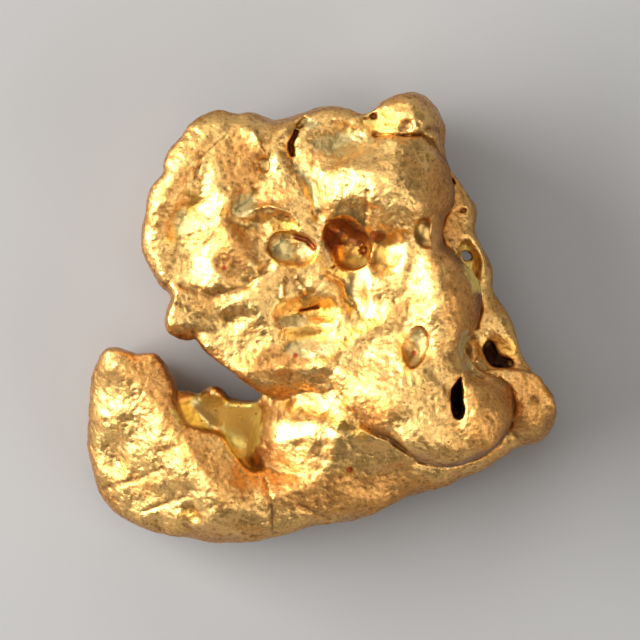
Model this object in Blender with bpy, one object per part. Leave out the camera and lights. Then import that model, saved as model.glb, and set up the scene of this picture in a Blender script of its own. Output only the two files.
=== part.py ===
"""A gold nugget, one natural piece, lying on its back as it would on a table.

Four broad masses are made from their outlines in plan and joined with a few lumps into one skin.
The skin is then worked like clay: swells, dishes, creases and pits are pressed into its upper side,
and holes are cut right through. Millimetres are used until the last step, which scales to metres.
X runs to the right and Y away from the reader, seen from above; Z is up and the table is at Z = 0.
"""

import bmesh
import bpy
import numpy as np
from mathutils import Euler, Matrix, Vector, noise

MM = 0.001

# Each mass lies between a low and a high height, and its round edge runs in by the third value.
ARM_SPAN = (0.7, 8.2, 1.2)
BOWL_SPAN = (0.9, 4.2, 0.8)
FLANGE_SPAN = (3.4, 7.4, 1.0)
MAIN_SPAN = (1.7, 11.2, 1.4)

# The same for each hole: the slit and the bent hole are blind, and the flange's hole goes through.
SLIT_SPAN = (2.4, 16.0, 0.2)
BENT_SPAN = (3.6, 16.0, 0.2)
FLANGE_HOLE_SPAN = (-2.0, 16.0, 0.1)

VOXEL = 0.2
DRIFT = 0.35  # how far the edges of what is pressed in wander
DRIFT_LENGTH = 1.6  # from one wander to the next
BROAD_LENGTH, BROAD_RELIEF = 3.4, 0.24
HAMMERED_LENGTH, HAMMERED_RELIEF = 1.3, 0.1
PIT_LIP = 0.3  # softness of a pit's rim
TURNING_HEIGHT = 13.0  # the underside's heights are counted down from here
FOOT_REACH = 0.04  # what the thinning has lifted off the table by less than this comes back to it
TRIANGLES = 9600
GOLD_COLOUR = (0.83, 0.57, 0.24, 1.0)
GOLD_ROUGHNESS = 0.42

# Outlines in plan, clockwise, in millimetres.
MAIN_OUTLINE = [
    (-1.9, 11.9), (-1.1, 12.2), (-0.1, 12.5), (0.9, 12.7), (1.7, 12.6), (2.4, 12.3), (3.1, 12.4),
    (3.8, 13.0), (4.6, 13.3), (5.3, 13.5), (6.1, 13.3), (6.7, 12.8), (7.1, 12.1), (7.2, 11.2),
    (7.3, 10.2), (7.6, 9.3), (7.9, 8.3), (7.9, 7.1), (7.4, 6.2), (7.1, 5.3), (7.3, 4.4), (8.0, 3.7),
    (8.8, 2.9), (9.4, 1.8), (9.5, 0.7), (9.3, -0.4), (8.8, -1.1), (8.5, -1.8), (8.9, -2.5),
    (9.6, -3.1), (10.6, -3.5), (11.3, -4.1), (11.5, -5.2), (11.3, -6.3), (10.7, -7.3), (9.7, -8.0),
    (8.5, -8.5), (7.2, -8.6), (6.0, -8.4), (5.1, -7.7), (4.1, -7.0), (2.5, -6.2), (1.1, -5.5),
    (0.0, -4.7), (-1.8, -4.7), (-3.2, -4.3), (-4.2, -3.7), (-5.9, -2.6), (-6.8, -1.9), (-7.3, -1.0),
    (-8.5, -0.9), (-9.0, -0.5), (-9.1, 0.2), (-8.8, 1.1), (-8.9, 1.7), (-9.6, 2.4), (-10.4, 4.0),
    (-10.6, 5.0), (-10.2, 6.9), (-9.8, 7.9), (-9.1, 8.6), (-9.1, 9.2), (-8.8, 10.0), (-8.2, 10.8),
    (-7.5, 11.6), (-6.8, 12.1), (-6.0, 12.4), (-5.0, 12.2), (-4.2, 12.4), (-3.5, 12.1),
    (-2.7, 11.7),
]
ARM_OUTLINE = [
    (-12.6, -1.8), (-11.6, -1.9), (-10.8, -2.0), (-10.0, -2.0), (-9.5, -2.5), (-9.2, -3.1),
    (-8.8, -3.8), (-8.8, -4.7), (-8.5, -5.5), (-8.0, -6.3), (-7.0, -6.7), (-6.0, -6.9), (-5.4, -7.7),
    (-4.7, -8.6), (-3.8, -9.0), (-2.1, -8.1), (0.0, -6.0), (4.8, -4.2), (9.6, -3.1), (12.7, -3.2),
    (13.4, -3.9), (13.9, -4.7), (14.1, -5.5), (13.7, -6.3), (12.5, -7.3), (11.3, -8.1), (10.0, -8.9),
    (8.5, -9.5), (6.6, -10.2), (4.8, -10.7), (3.3, -11.6), (2.4, -11.9), (-0.2, -12.4),
    (-3.1, -13.0), (-6.0, -13.4), (-8.2, -13.1), (-10.3, -12.6), (-11.8, -11.9), (-12.8, -11.0),
    (-13.6, -9.7), (-13.9, -8.3), (-14.0, -6.6), (-13.9, -4.8), (-13.6, -3.4), (-13.2, -2.3),
]
BOWL_OUTLINE = [
    (-9.2, -4.7), (-8.1, -4.4), (-7.3, -4.6), (-6.8, -4.2), (-6.2, -4.1), (-5.8, -4.4), (-5.5, -4.8),
    (-4.5, -4.9), (-3.7, -4.8), (-3.2, -4.3), (-1.2, -4.5), (-1.2, -7.2), (-3.0, -9.6), (-6.0, -9.0),
    (-9.0, -7.2),
]
FLANGE_OUTLINE = [
    (6.3, 12.0), (7.3, 11.7), (7.5, 10.3), (7.9, 9.0), (8.7, 7.9), (9.2, 7.0), (9.3, 6.1),
    (9.2, 5.4), (9.6, 4.4), (10.1, 3.5), (10.3, 2.7), (10.2, 1.9), (10.7, 1.1), (11.3, 0.0),
    (11.7, -1.1), (12.2, -2.2), (12.7, -3.2), (11.4, -3.9), (9.0, -3.9), (7.2, -1.2), (6.6, 4.2),
    (6.3, 8.4),
]

SLIT_HOLE = [
    (8.3, -3.2), (8.5, -4.0), (8.5, -4.7), (8.6, -5.3), (8.4, -5.8), (8.0, -5.8), (7.8, -5.3),
    (7.7, -4.6), (7.8, -3.9),
]
FLANGE_HOLE = [(8.5, 4.1), (8.9, 4.2), (9.2, 3.8), (9.0, 3.5), (8.6, 3.6)]
BENT_HOLE = [
    (10.3, -1.3), (10.7, -1.6), (10.8, -2.2), (11.5, -2.4), (11.6, -2.7), (10.9, -2.9), (10.3, -2.6),
    (9.9, -2.0),
]


def smooth_closed(ring, steps=4):
    """A smooth curve through a closed ring of plan points, as a fine ring."""
    here = np.array(ring)
    before, after, later = np.roll(here, 1, 0), np.roll(here, -1, 0), np.roll(here, -2, 0)
    rows = []
    for t in np.arange(steps) / steps:
        straight = 2 * here + (after - before) * t
        curved = (2 * before - 5 * here + 4 * after - later) * t**2
        twisted = (3 * here - before - 3 * after + later) * t**3
        rows.append((straight + curved + twisted) / 2)
    return np.stack(rows, axis=1).reshape(-1, 2)


def pillow(bm, outline, span):
    """Adds a closed mass from its clockwise outline, two heights and how far its round edge runs in."""
    low, high, edge = span
    ring = smooth_closed(outline)
    along = np.roll(ring, -1, 0) - np.roll(ring, 1, 0)
    inward = np.stack([along[:, 1], -along[:, 0]], axis=1)
    inward /= np.linalg.norm(inward, axis=1)[:, None]
    middle, half = (low + high) / 2, (high - low) / 2
    loops = []
    for angle in np.radians(np.linspace(-90, 90, 13)):
        rows = ring + inward * edge * (1 - np.cos(angle))
        z = middle + half * np.sin(angle)
        loops.append([bm.verts.new((x, y, z)) for x, y in rows])
    for lower, upper in zip(loops[:-1], loops[1:]):
        for i in range(len(ring)):
            bm.faces.new((lower[i], lower[i - 1], upper[i - 1], upper[i]))
    bm.faces.new(loops[0])
    bm.faces.new(loops[-1][::-1])


def lump(bm, at, radii, turns=(0, 0, 0)):
    """Adds an ellipsoid, turned by angles in degrees."""
    turned = Euler([np.radians(turn) for turn in turns]).to_matrix().to_4x4()
    place = Matrix.Translation(at) @ turned @ Matrix.Diagonal((*radii, 1))
    bmesh.ops.create_icosphere(bm, subdivisions=4, radius=1, matrix=place)


def lay_masses(bm):
    pillow(bm, ARM_OUTLINE, ARM_SPAN)
    pillow(bm, BOWL_OUTLINE, BOWL_SPAN)
    pillow(bm, FLANGE_OUTLINE, FLANGE_SPAN)
    pillow(bm, MAIN_OUTLINE, MAIN_SPAN)
    lump(bm, (-1.2, -6.8, 4.2), (4.6, 2.8, 2.8), (0, -32, 0))
    lump(bm, (-0.8, -4.8, 5.8), (2.6, 2.8, 4.4))
    lump(bm, (1.6, -4.6, 6.2), (3.0, 2.6, 4.4))
    lump(bm, (12.4, -5.4, 5.6), (1.7, 2.0, 3.0))
    lump(bm, (-8.0, 0.0, 8.6), (1.1, 1.1, 1.4))


def lay_feet(bm):
    """Lumps below, which the nugget rests on."""
    lump(bm, (-6.0, 5.8, 4.2), (4.0, 4.8, 4.35))
    lump(bm, (4.2, 7.0, 4.2), (4.2, 4.6, 4.35))
    lump(bm, (-10.0, -8.2, 3.0), (3.2, 4.2, 3.15))
    lump(bm, (6.2, -5.6, 3.6), (4.4, 3.2, 3.75))


def smoothstep(low, high, value):
    share = np.clip((value - low) / (high - low), 0, 1)
    return share * share * (3 - 2 * share)


class Clay:
    """The skin's corners, to be pressed and raised from above."""

    def __init__(self, mesh):
        self.mesh = mesh
        self.points = np.empty(len(mesh.vertices) * 3, np.float32)
        mesh.vertices.foreach_get("co", self.points)
        self.points = self.points.reshape(-1, 3).astype(float)
        drift = [noise.noise_vector(Vector(point) / DRIFT_LENGTH)[:2] for point in self.points]
        self.plan = self.points[:, :2] + DRIFT * np.array(drift)

    def turn_over(self):
        self.points[:, 2] = TURNING_HEIGHT - self.points[:, 2]

    def settle(self):
        self.mesh.vertices.foreach_set("co", self.points.astype(np.float32).ravel())
        self.mesh.update()

    def local(self, at, size, turn):
        """Plan places around a centre, turned, in half sizes."""
        angle = np.radians(turn)
        x, y = self.plan[:, 0] - at[0], self.plan[:, 1] - at[1]
        along = (x * np.cos(angle) + y * np.sin(angle)) / size[0]
        across = (y * np.cos(angle) - x * np.sin(angle)) / size[1]
        return along**2 + across**2

    def dent(self, at, reach, depth):
        """Presses the surface around a place towards the middle of the nugget."""
        away = np.linalg.norm(self.points - at, axis=1) / reach
        inward = -np.array((at[0], at[1], 0)) / np.hypot(at[0], at[1])
        self.points += inward * (depth * np.clip(1 - away**2, 0, 1) ** 1.5)[:, None]

    def raise_by(self, rise, low):
        """Moves what lies above a height up by a rise, or down where the rise is under zero."""
        fade = 0.6 + np.abs(rise)
        self.points[:, 2] += rise * smoothstep(low - fade, low + fade, self.points[:, 2])

    def swell(self, at, size, rise, turn=0, low=5.5):
        """A soft rise, or a dish where the rise is under zero."""
        self.raise_by(rise * np.clip(1 - self.local(at, size, turn), 0, 1) ** 1.5, low)

    def crease(self, line, width, depth, low=5.5):
        """A furrow along a line of plan points, or a ridge where the depth is under zero."""
        nearest = np.full(len(self.points), np.inf)
        for start, end in zip(line[:-1], line[1:]):
            run = np.subtract(end, start)
            from_start = self.plan - start
            share = np.clip(from_start @ run / (run @ run), 0, 1)
            nearest = np.minimum(nearest, np.linalg.norm(from_start - share[:, None] * run, axis=1))
        self.raise_by(-depth * np.exp(-((nearest / width) ** 2)), low)

    def top(self, at):
        """Height of the skin over a plan point."""
        near = np.linalg.norm(self.points[:, :2] - at, axis=1) < 2 * VOXEL
        return self.points[near, 2].max()

    def pit(self, at, size, depth, turn=0):
        """A rounded hollow of two half widths in plan. Its bottom lies at a depth under the skin there."""
        bottom = self.top(at) - depth
        deep = max(depth, min(size))
        inside = self.local(at, size, turn)
        floor = bottom + deep * (1 - np.sqrt(np.clip(1 - inside, 0, 1)))
        floor[inside >= 1] = np.inf
        z = self.points[:, 2]
        over = np.clip(z - floor, -PIT_LIP, None)
        pressed = np.where(over > PIT_LIP, floor, z - (over + PIT_LIP) ** 2 / (4 * PIT_LIP))
        self.points[:, 2] = np.where(np.isinf(floor), z, pressed)


def work_upper_side(clay):
    press_forms(clay)
    press_left_lobe(clay)
    press_middle(clay)
    press_top(clay)
    press_right(clay)
    press_arm(clay)


def press_forms(clay):
    """Broad rises and falls of the upper side."""
    clay.swell((-7.8, 6.5), (4.2, 6.5), 0.5)
    clay.swell((3.9, 7.7), (4.6, 3.2), 1.4, turn=-10)
    clay.swell((5.2, -4.8), (4.8, 3.6), 1.0, turn=-20)
    clay.swell((7.4, 1.4), (2.4, 4.2), 1.0)
    clay.swell((9.8, -5.6), (1.9, 2.8), 0.7)
    clay.swell((5.6, 12.0), (2.0, 1.8), 0.8)
    clay.swell((0.2, -0.8), (5.5, 4.5), -0.9)
    clay.swell((1.5, 4.4), (3.6, 2.8), -0.6)
    clay.swell((-6.2, -1.6), (4.2, 3.2), -1.3, turn=-25)
    clay.swell((-0.4, 13.0), (9.0, 2.4), -0.9)
    clay.swell((-11.0, 3.0), (3.0, 5.0), -0.8)
    clay.swell((6.4, -9.4), (6.0, 3.6), -2.2, turn=-15, low=8.6)


def press_left_lobe(clay):
    clay.crease([(-5.7, 11.4), (-8.0, 9.3), (-9.4, 6.2), (-9.4, 3.8)], 0.8, -0.4)
    clay.crease([(-5.5, 11.2), (-7.0, 9.7), (-7.1, 8.2)], 0.4, 0.6)
    clay.crease([(-4.0, 11.2), (-3.4, 9.7)], 0.4, -0.3)
    clay.swell((-3.1, 8.8), (0.9, 0.8), -0.6)
    clay.swell((-7.6, 4.8), (2.4, 3.4), -1.9, turn=8)
    clay.crease([(-8.7, 4.4), (-8.3, 6.1), (-7.2, 7.0)], 0.7, 0.5)
    clay.crease([(-5.4, 7.2), (-5.1, 4.8), (-4.0, 2.6)], 0.6, -0.4)
    clay.pit((-3.9, 6.7), (1.6, 0.8), 0.8, turn=50)
    clay.crease([(-7.0, 1.6), (-5.4, 1.8), (-4.1, 2.1), (-3.2, 2.9)], 0.45, 0.5)


def press_middle(clay):
    clay.swell((-2.0, 5.4), (1.9, 1.4), -0.7, turn=-30)
    clay.pit((-2.2, 4.3), (0.9, 1.0), 1.0)
    clay.pit((-0.9, 4.2), (0.9, 0.95), 1.0)
    clay.pit((1.7, 4.2), (1.45, 1.6), 1.2)
    clay.pit((1.3, 5.2), (1.1, 0.9), 1.6, turn=-15)
    clay.pit((3.9, 3.9), (1.3, 1.3), 0.8)
    clay.crease([(1.6, 3.2), (2.0, 2.2), (2.1, 1.0), (1.9, -0.3)], 0.8, 0.9)
    clay.swell((-0.3, 0.4), (2.6, 1.1), -1.0, turn=10)
    clay.swell((-0.5, -1.3), (2.2, 1.0), -0.6, turn=14)
    clay.swell((0.5, -1.8), (1.1, 0.7), 0.4)
    clay.pit((5.7, -1.9), (1.0, 1.45), 1.1, turn=-12)


def press_top(clay):
    clay.swell((1.3, 10.6), (2.9, 1.5), -1.0, turn=4)
    clay.crease([(-1.0, 9.9), (-0.5, 9.4), (0.9, 9.2), (2.4, 9.3), (3.9, 9.8)], 0.4, 0.4)
    clay.crease([(-1.4, 11.5), (-1.7, 10.4), (-1.2, 9.0), (-0.5, 7.8), (0.0, 6.3)], 0.45, 0.6)
    clay.pit((3.6, 11.5), (1.3, 0.75), 0.9)
    clay.swell((5.0, 11.5), (0.6, 0.6), -0.4)
    under_knob = [(3.0, 10.7), (4.8, 10.8), (6.0, 10.8), (7.0, 10.2), (7.6, 9.2), (7.9, 8.2)]
    clay.crease(under_knob, 0.3, 0.6)
    clay.pit((6.6, 5.1), (0.8, 0.95), 0.8)


def press_right(clay):
    edge = [(9.2, -1.2), (8.6, -2.4), (9.1, -3.3), (10.4, -3.7), (11.3, -4.6), (11.5, -5.9)]
    clay.crease(edge, 0.35, 0.6)
    clay.pit((8.9, 3.5), (0.75, 1.5), 1.1, turn=12)
    clay.pit((10.8, -1.9), (1.2, 1.1), 1.1, turn=-30)


def press_arm(clay):
    """The arm's long ridge, with a flat slope on each side, and its small scars."""
    clay.raise_by(-0.5 * np.maximum(clay.plan @ (-0.82, -0.57) - 11.1, 0), 3.5)
    clay.crease([(-11.4, -3.1), (-9.3, -6.6), (-6.3, -10.3)], 1.3, -0.8)
    clay.swell((-5.6, -6.4), (3.0, 2.2), -1.4, turn=-20, low=2.4)
    clay.pit((1.8, -9.0), (0.4, 0.5), 0.5)
    clay.pit((-7.8, -11.7), (1.1, 0.7), 0.7, turn=-30)
    clay.swell((-12.4, -8.1), (0.8, 1.5), -0.5, turn=12, low=4.0)
    clay.crease([(-3.1, -9.9), (-3.0, -11.2), (-2.9, -12.4)], 0.3, 0.3, low=3.0)


def press_sides(clay):
    """Undercuts, which keep the lower half within the outline seen from above."""
    clay.dent((-11.2, 6.0, 1.8), 3.8, 1.6)
    clay.dent((-9.6, 0.8, 2.4), 3.0, 1.0)
    clay.dent((-4.6, 13.0, 2.0), 3.8, 1.4)
    clay.dent((1.2, 13.4, 2.4), 3.6, 1.6)
    clay.dent((8.6, 11.6, 2.0), 3.8, 1.2)
    clay.dent((9.8, 3.4, 1.2), 3.6, 1.4)
    clay.dent((13.4, -8.0, 1.4), 3.6, 1.2)
    clay.dent((3.8, -12.0, 1.0), 3.6, 1.2)
    clay.dent((-4.4, -14.2, 0.8), 3.4, 1.0)
    clay.dent((-15.2, -5.4, 0.6), 3.2, 0.9)


def press_underside(clay):
    """Hollows and folds between the feet, pressed with the nugget turned over."""
    clay.turn_over()
    clay.swell((-1.0, 6.5), (2.6, 2.4), -1.8, turn=20)
    clay.swell((3.0, 1.6), (2.0, 2.8), -1.6, turn=30)
    clay.swell((-5.2, 1.2), (2.0, 1.4), -1.4)
    clay.swell((0.4, -8.6), (2.6, 1.5), -1.0)
    clay.pit((0.6, 3.0), (0.9, 0.7), 0.9)
    clay.crease([(-4.0, 10.8), (-2.6, 8.4), (-2.4, 5.2), (-3.4, 2.6)], 0.4, 0.6)
    clay.turn_over()


def cut_holes(obj):
    """Openings that go right through, or deep."""
    bm = bmesh.new()
    pillow(bm, SLIT_HOLE, SLIT_SPAN)
    pillow(bm, FLANGE_HOLE, FLANGE_HOLE_SPAN)
    pillow(bm, BENT_HOLE, BENT_SPAN)
    cutter = as_object("cutter", bm)
    cut = obj.modifiers.new("Cut", "BOOLEAN")
    cut.operation = "DIFFERENCE"
    cut.solver = "MANIFOLD"
    cut.object = cutter
    bake(obj)
    bpy.data.objects.remove(cutter)


def as_object(name, bm):
    mesh = bpy.data.meshes.new(name)
    bm.to_mesh(mesh)
    bm.free()
    obj = bpy.data.objects.new(name, mesh)
    bpy.context.scene.collection.objects.link(obj)
    return obj


def bake(obj):
    """Keeps the mesh as its modifiers leave it."""
    shaped = obj.evaluated_get(bpy.context.evaluated_depsgraph_get())
    obj.data = bpy.data.meshes.new_from_object(shaped)
    obj.modifiers.clear()


def skin(obj, smoothing):
    """Joins all that overlaps into one skin of even faces, and softens it."""
    remesh = obj.modifiers.new("Skin", "REMESH")
    remesh.mode = "VOXEL"
    remesh.voxel_size = VOXEL
    soften = obj.modifiers.new("Soften", "SMOOTH")
    soften.factor = 0.5
    soften.iterations = smoothing
    bake(obj)


def roughen(mesh):
    """Uneven natural relief, square to the surface."""
    outward = [vertex.normal.copy() for vertex in mesh.vertices]
    for vertex, normal in zip(mesh.vertices, outward):
        broad = noise.fractal(vertex.co / BROAD_LENGTH, 1.0, 2.0, 2)
        hammered = noise.fractal(vertex.co / HAMMERED_LENGTH, 0.8, 2.0, 2)
        vertex.co += normal * (BROAD_RELIEF * broad + HAMMERED_RELIEF * hammered)


def flatten_feet(mesh, reach=0.0):
    """Worn flats where the lowest lumps meet the table. What lies under the reach comes to Z = 0."""
    for vertex in mesh.vertices:
        if vertex.co.z < reach:
            vertex.co.z = 0


def thin(obj):
    """Leaves about as many triangles as the solid may have, the most where it curves most."""
    faces = sum(len(face.vertices) - 2 for face in obj.data.polygons)
    fewer = obj.modifiers.new("Thin", "DECIMATE")
    fewer.ratio = TRIANGLES / faces
    fewer.use_collapse_triangulate = True
    bake(obj)


def gold():
    material = bpy.data.materials.new("gold")
    material.use_nodes = True
    shader = material.node_tree.nodes["Principled BSDF"]
    shader.inputs["Base Color"].default_value = GOLD_COLOUR
    shader.inputs["Metallic"].default_value = 1.0
    shader.inputs["Roughness"].default_value = GOLD_ROUGHNESS
    return material


def make_nugget():
    bm = bmesh.new()
    lay_masses(bm)
    lay_feet(bm)
    nugget = as_object("nugget", bm)
    skin(nugget, 2)
    clay = Clay(nugget.data)
    work_upper_side(clay)
    press_sides(clay)
    press_underside(clay)
    clay.settle()
    cut_holes(nugget)
    skin(nugget, 2)
    roughen(nugget.data)
    flatten_feet(nugget.data)
    thin(nugget)
    flatten_feet(nugget.data, FOOT_REACH)
    nugget.data.transform(Matrix.Scale(MM, 4))
    nugget.data.shade_smooth()
    nugget.data.materials.clear()
    nugget.data.materials.append(gold())


def clear_scene():
    for old in list(bpy.data.objects):
        bpy.data.objects.remove(old)


def main():
    clear_scene()
    make_nugget()


main()
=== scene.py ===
"""A gold nugget on a pale floor, seen from straight above.

The skin is made the way the solid is, in a finer mesh: the same masses, joined and worked like clay,
and then the small pits, folds and grain that the solid leaves out. Plan places are in millimetres
until the last step, which scales to metres. X runs to the right, Y away from the reader, and Z is up.
"""

import bmesh
import bpy
import numpy as np
from mathutils import Euler, Matrix, Vector, kdtree, noise


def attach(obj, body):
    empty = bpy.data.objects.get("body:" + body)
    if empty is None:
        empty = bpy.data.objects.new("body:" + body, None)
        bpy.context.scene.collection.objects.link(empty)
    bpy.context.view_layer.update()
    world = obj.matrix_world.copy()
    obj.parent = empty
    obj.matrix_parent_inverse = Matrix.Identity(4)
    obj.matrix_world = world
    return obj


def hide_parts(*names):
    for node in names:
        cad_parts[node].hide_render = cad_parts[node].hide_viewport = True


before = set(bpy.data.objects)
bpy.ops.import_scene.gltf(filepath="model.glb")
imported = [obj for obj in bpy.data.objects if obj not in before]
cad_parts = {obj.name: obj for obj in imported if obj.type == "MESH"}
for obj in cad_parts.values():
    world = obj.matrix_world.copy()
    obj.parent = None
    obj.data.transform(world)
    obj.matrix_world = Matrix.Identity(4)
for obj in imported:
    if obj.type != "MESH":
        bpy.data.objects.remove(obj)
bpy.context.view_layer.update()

MM = 0.001

# Each mass lies between a low and a high height, and its round edge runs in by the third value.
ARM_SPAN = (0.7, 8.2, 0.8)
BOWL_SPAN = (1.2, 6.0, 0.5)
SADDLE_SPAN = (2.0, 9.6, 1.3)
FLANGE_SPAN = (3.4, 7.4, 0.7)
MAIN_SPAN = (1.7, 11.2, 1.0)

# The side of a mass that its lean points to has a wider edge, and the other side a sharper one.
ARM_LEAN = (-0.6, -0.72)
SADDLE_LEAN = (-0.5, 0.1)
MAIN_LEAN = (0.55, -0.1)
NO_LEAN = (0.0, 0.0)

# Low and high heights of each hole: the slit and the bent hole are blind, the flange's hole goes through.
SLIT_SPAN = (2.4, 16.0)
BENT_SPAN = (3.6, 16.0)
FLANGE_HOLE_SPAN = (-2.0, 16.0)
# Painted shade: the insides of the blind holes are painted dark brown up to the first height.
HOLE_SHADE_HEIGHTS = (5.2, 5.9)  # the blind holes are dark up to the first height and bare gold from the second

FORM_VOXEL = 0.14
SKIN_VOXEL = 0.1
DRIFT_LENGTH = 1.6  # from one wander of the pressed edges to the next
FORM_DRIFT = 0.35  # how far the edges of broad forms wander
DETAIL_DRIFT = 0.12  # and those of small ones
BROAD_LENGTH, BROAD_RELIEF = 3.4, 0.24
HAMMERED_LENGTH, HAMMERED_RELIEF = 1.0, 0.08
CRINKLE_LENGTH, CRINKLE_RELIEF = 0.5, 0.025
GRAIN_LENGTH, GRAIN_RELIEF = 0.24, 0.035
POCK_LENGTH, POCK_RELIEF = 0.8, 0.07
EDGE_DROP = 1.15  # how far a round upper edge comes down, to how far it runs in
FORM_LIP = 0.3  # softness of a broad pit's rim
DETAIL_LIP = 0.09  # and of a small one's
TURNING_HEIGHT = 13.0  # the underside's heights are counted down from here
FOOT_REACH = 0.04  # what the thinning has lifted off the floor by less than this comes back to it
TRIANGLES = 196000
UPPER_HOLD = 0.02  # how hard the upper side holds on to its corners in thinning

# The camera looks straight down from where one step of the picture covers this many millimetres.
PIXEL = 0.06
PICTURE = 640
SENSOR = 36.0
LENS = 300.0
AIM_HEIGHT = 6.0

# Outlines in plan, clockwise, in millimetres.
MAIN_OUTLINE = [
    (-1.9, 11.9), (-1.1, 12.2), (-0.1, 12.5), (0.9, 12.7), (1.7, 12.6), (2.4, 12.3), (3.1, 12.4),
    (3.8, 13.0), (4.6, 13.3), (5.3, 13.5), (6.1, 13.3), (6.7, 12.8), (7.1, 12.1), (7.2, 11.2),
    (7.3, 10.2), (7.6, 9.3), (7.9, 8.3), (7.9, 7.1), (7.4, 6.2), (7.1, 5.3), (7.3, 4.4), (8.0, 3.7),
    (8.8, 2.9), (9.4, 1.8), (9.5, 0.7), (9.3, -0.4), (8.8, -1.1), (8.5, -1.8), (8.9, -2.5),
    (9.6, -3.1), (10.6, -3.5), (11.3, -4.1), (11.5, -5.2), (11.3, -6.3), (10.7, -7.3), (9.7, -8.0),
    (8.5, -8.5), (7.2, -8.6), (6.0, -8.4), (5.1, -7.7), (4.1, -7.0), (2.5, -6.2), (1.1, -5.5),
    (0.0, -4.7), (-1.8, -4.7), (-3.2, -4.3), (-4.2, -3.7), (-5.9, -2.6), (-6.8, -1.9), (-7.3, -1.0),
    (-8.5, -0.9), (-9.0, -0.5), (-9.1, 0.2), (-8.8, 1.1), (-8.9, 1.7), (-9.6, 2.4), (-10.4, 4.0),
    (-10.6, 5.0), (-10.2, 6.9), (-9.8, 7.9), (-9.1, 8.6), (-9.1, 9.2), (-8.8, 10.0), (-8.2, 10.8),
    (-7.5, 11.6), (-6.8, 12.1), (-6.0, 12.4), (-5.0, 12.2), (-4.2, 12.4), (-3.5, 12.1),
    (-2.7, 11.7),
]
ARM_OUTLINE = [
    (-12.6, -1.8), (-11.6, -1.9), (-10.8, -2.0), (-10.0, -2.0), (-9.5, -2.5), (-9.2, -3.1),
    (-8.8, -3.8), (-8.8, -4.7), (-8.5, -5.5), (-8.0, -6.3), (-7.0, -6.7), (-6.0, -6.9), (-5.4, -7.7),
    (-4.7, -8.6), (-3.8, -9.0), (-2.1, -8.1), (0.0, -6.0), (4.8, -4.2), (9.6, -3.1), (12.7, -3.2),
    (13.4, -3.9), (13.9, -4.7), (14.1, -5.5), (13.7, -6.3), (12.5, -7.3), (11.3, -8.1), (10.0, -8.9),
    (8.5, -9.5), (6.6, -10.2), (4.8, -10.7), (3.3, -11.6), (2.4, -11.9), (-0.2, -12.4),
    (-3.1, -13.0), (-6.0, -13.4), (-8.2, -13.1), (-10.3, -12.6), (-11.8, -11.9), (-12.8, -11.0),
    (-13.6, -9.7), (-13.9, -8.3), (-14.0, -6.6), (-13.9, -4.8), (-13.6, -3.4), (-13.2, -2.3),
]
BOWL_OUTLINE = [
    (-9.2, -4.7), (-8.1, -4.4), (-7.3, -4.6), (-6.8, -4.2), (-6.2, -4.1), (-5.8, -4.4), (-5.5, -4.8),
    (-4.5, -4.9), (-3.7, -4.8), (-3.2, -4.3), (-1.2, -4.5), (-1.2, -7.2), (-3.0, -9.6), (-6.0, -9.0),
    (-9.0, -7.2),
]
SADDLE_OUTLINE = [
    (-3.4, -4.3), (-1.6, -3.4), (1.0, -3.0), (4.0, -5.0), (6.4, -6.6), (5.6, -8.6), (2.4, -9.6),
    (-1.0, -10.0), (-3.6, -9.6), (-4.4, -8.8), (-4.2, -7.2), (-3.7, -5.6),
]
FLANGE_OUTLINE = [
    (6.3, 12.0), (7.3, 11.7), (7.5, 10.3), (7.9, 9.0), (8.7, 7.9), (9.2, 7.0), (9.3, 6.1),
    (9.2, 5.4), (9.6, 4.4), (10.1, 3.5), (10.3, 2.7), (10.2, 1.9), (10.7, 1.1), (11.3, 0.0),
    (11.7, -1.1), (12.2, -2.2), (12.7, -3.2), (11.4, -3.9), (9.0, -3.9), (7.2, -1.2), (6.6, 4.2),
    (6.3, 8.4),
]

SLIT_HOLE = [
    (8.3, -3.2), (8.5, -4.0), (8.5, -4.7), (8.6, -5.3), (8.4, -5.8), (8.0, -5.8), (7.8, -5.3),
    (7.7, -4.6), (7.8, -3.9),
]
FLANGE_HOLE = [(8.5, 4.1), (8.9, 4.2), (9.2, 3.8), (9.0, 3.5), (8.6, 3.6)]
BENT_HOLE = [
    (9.85, -1.5), (10.15, -1.2), (10.5, -1.35), (10.7, -1.75), (10.8, -2.0), (11.0, -2.1),
    (11.3, -2.2), (11.6, -2.4), (11.6, -2.85), (11.2, -2.95), (10.7, -2.9), (10.2, -2.75),
    (9.95, -2.3), (9.8, -1.9),
]

UNDER_KNOB = [(3.3, 10.9), (4.8, 10.9), (6.0, 11.0), (7.0, 10.2), (7.6, 9.3), (8.0, 8.2)]

# Where the main body lies over the flange, over the lobe and the band, and under the knob.
SEAMS = [
    [(x, y) for x, y in MAIN_OUTLINE if x > 7.0 and -1.0 < y < 9.0],
    [(x, y) for x, y in MAIN_OUTLINE if x > 2.4 and y < -3.2],
    UNDER_KNOB,
]

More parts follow.
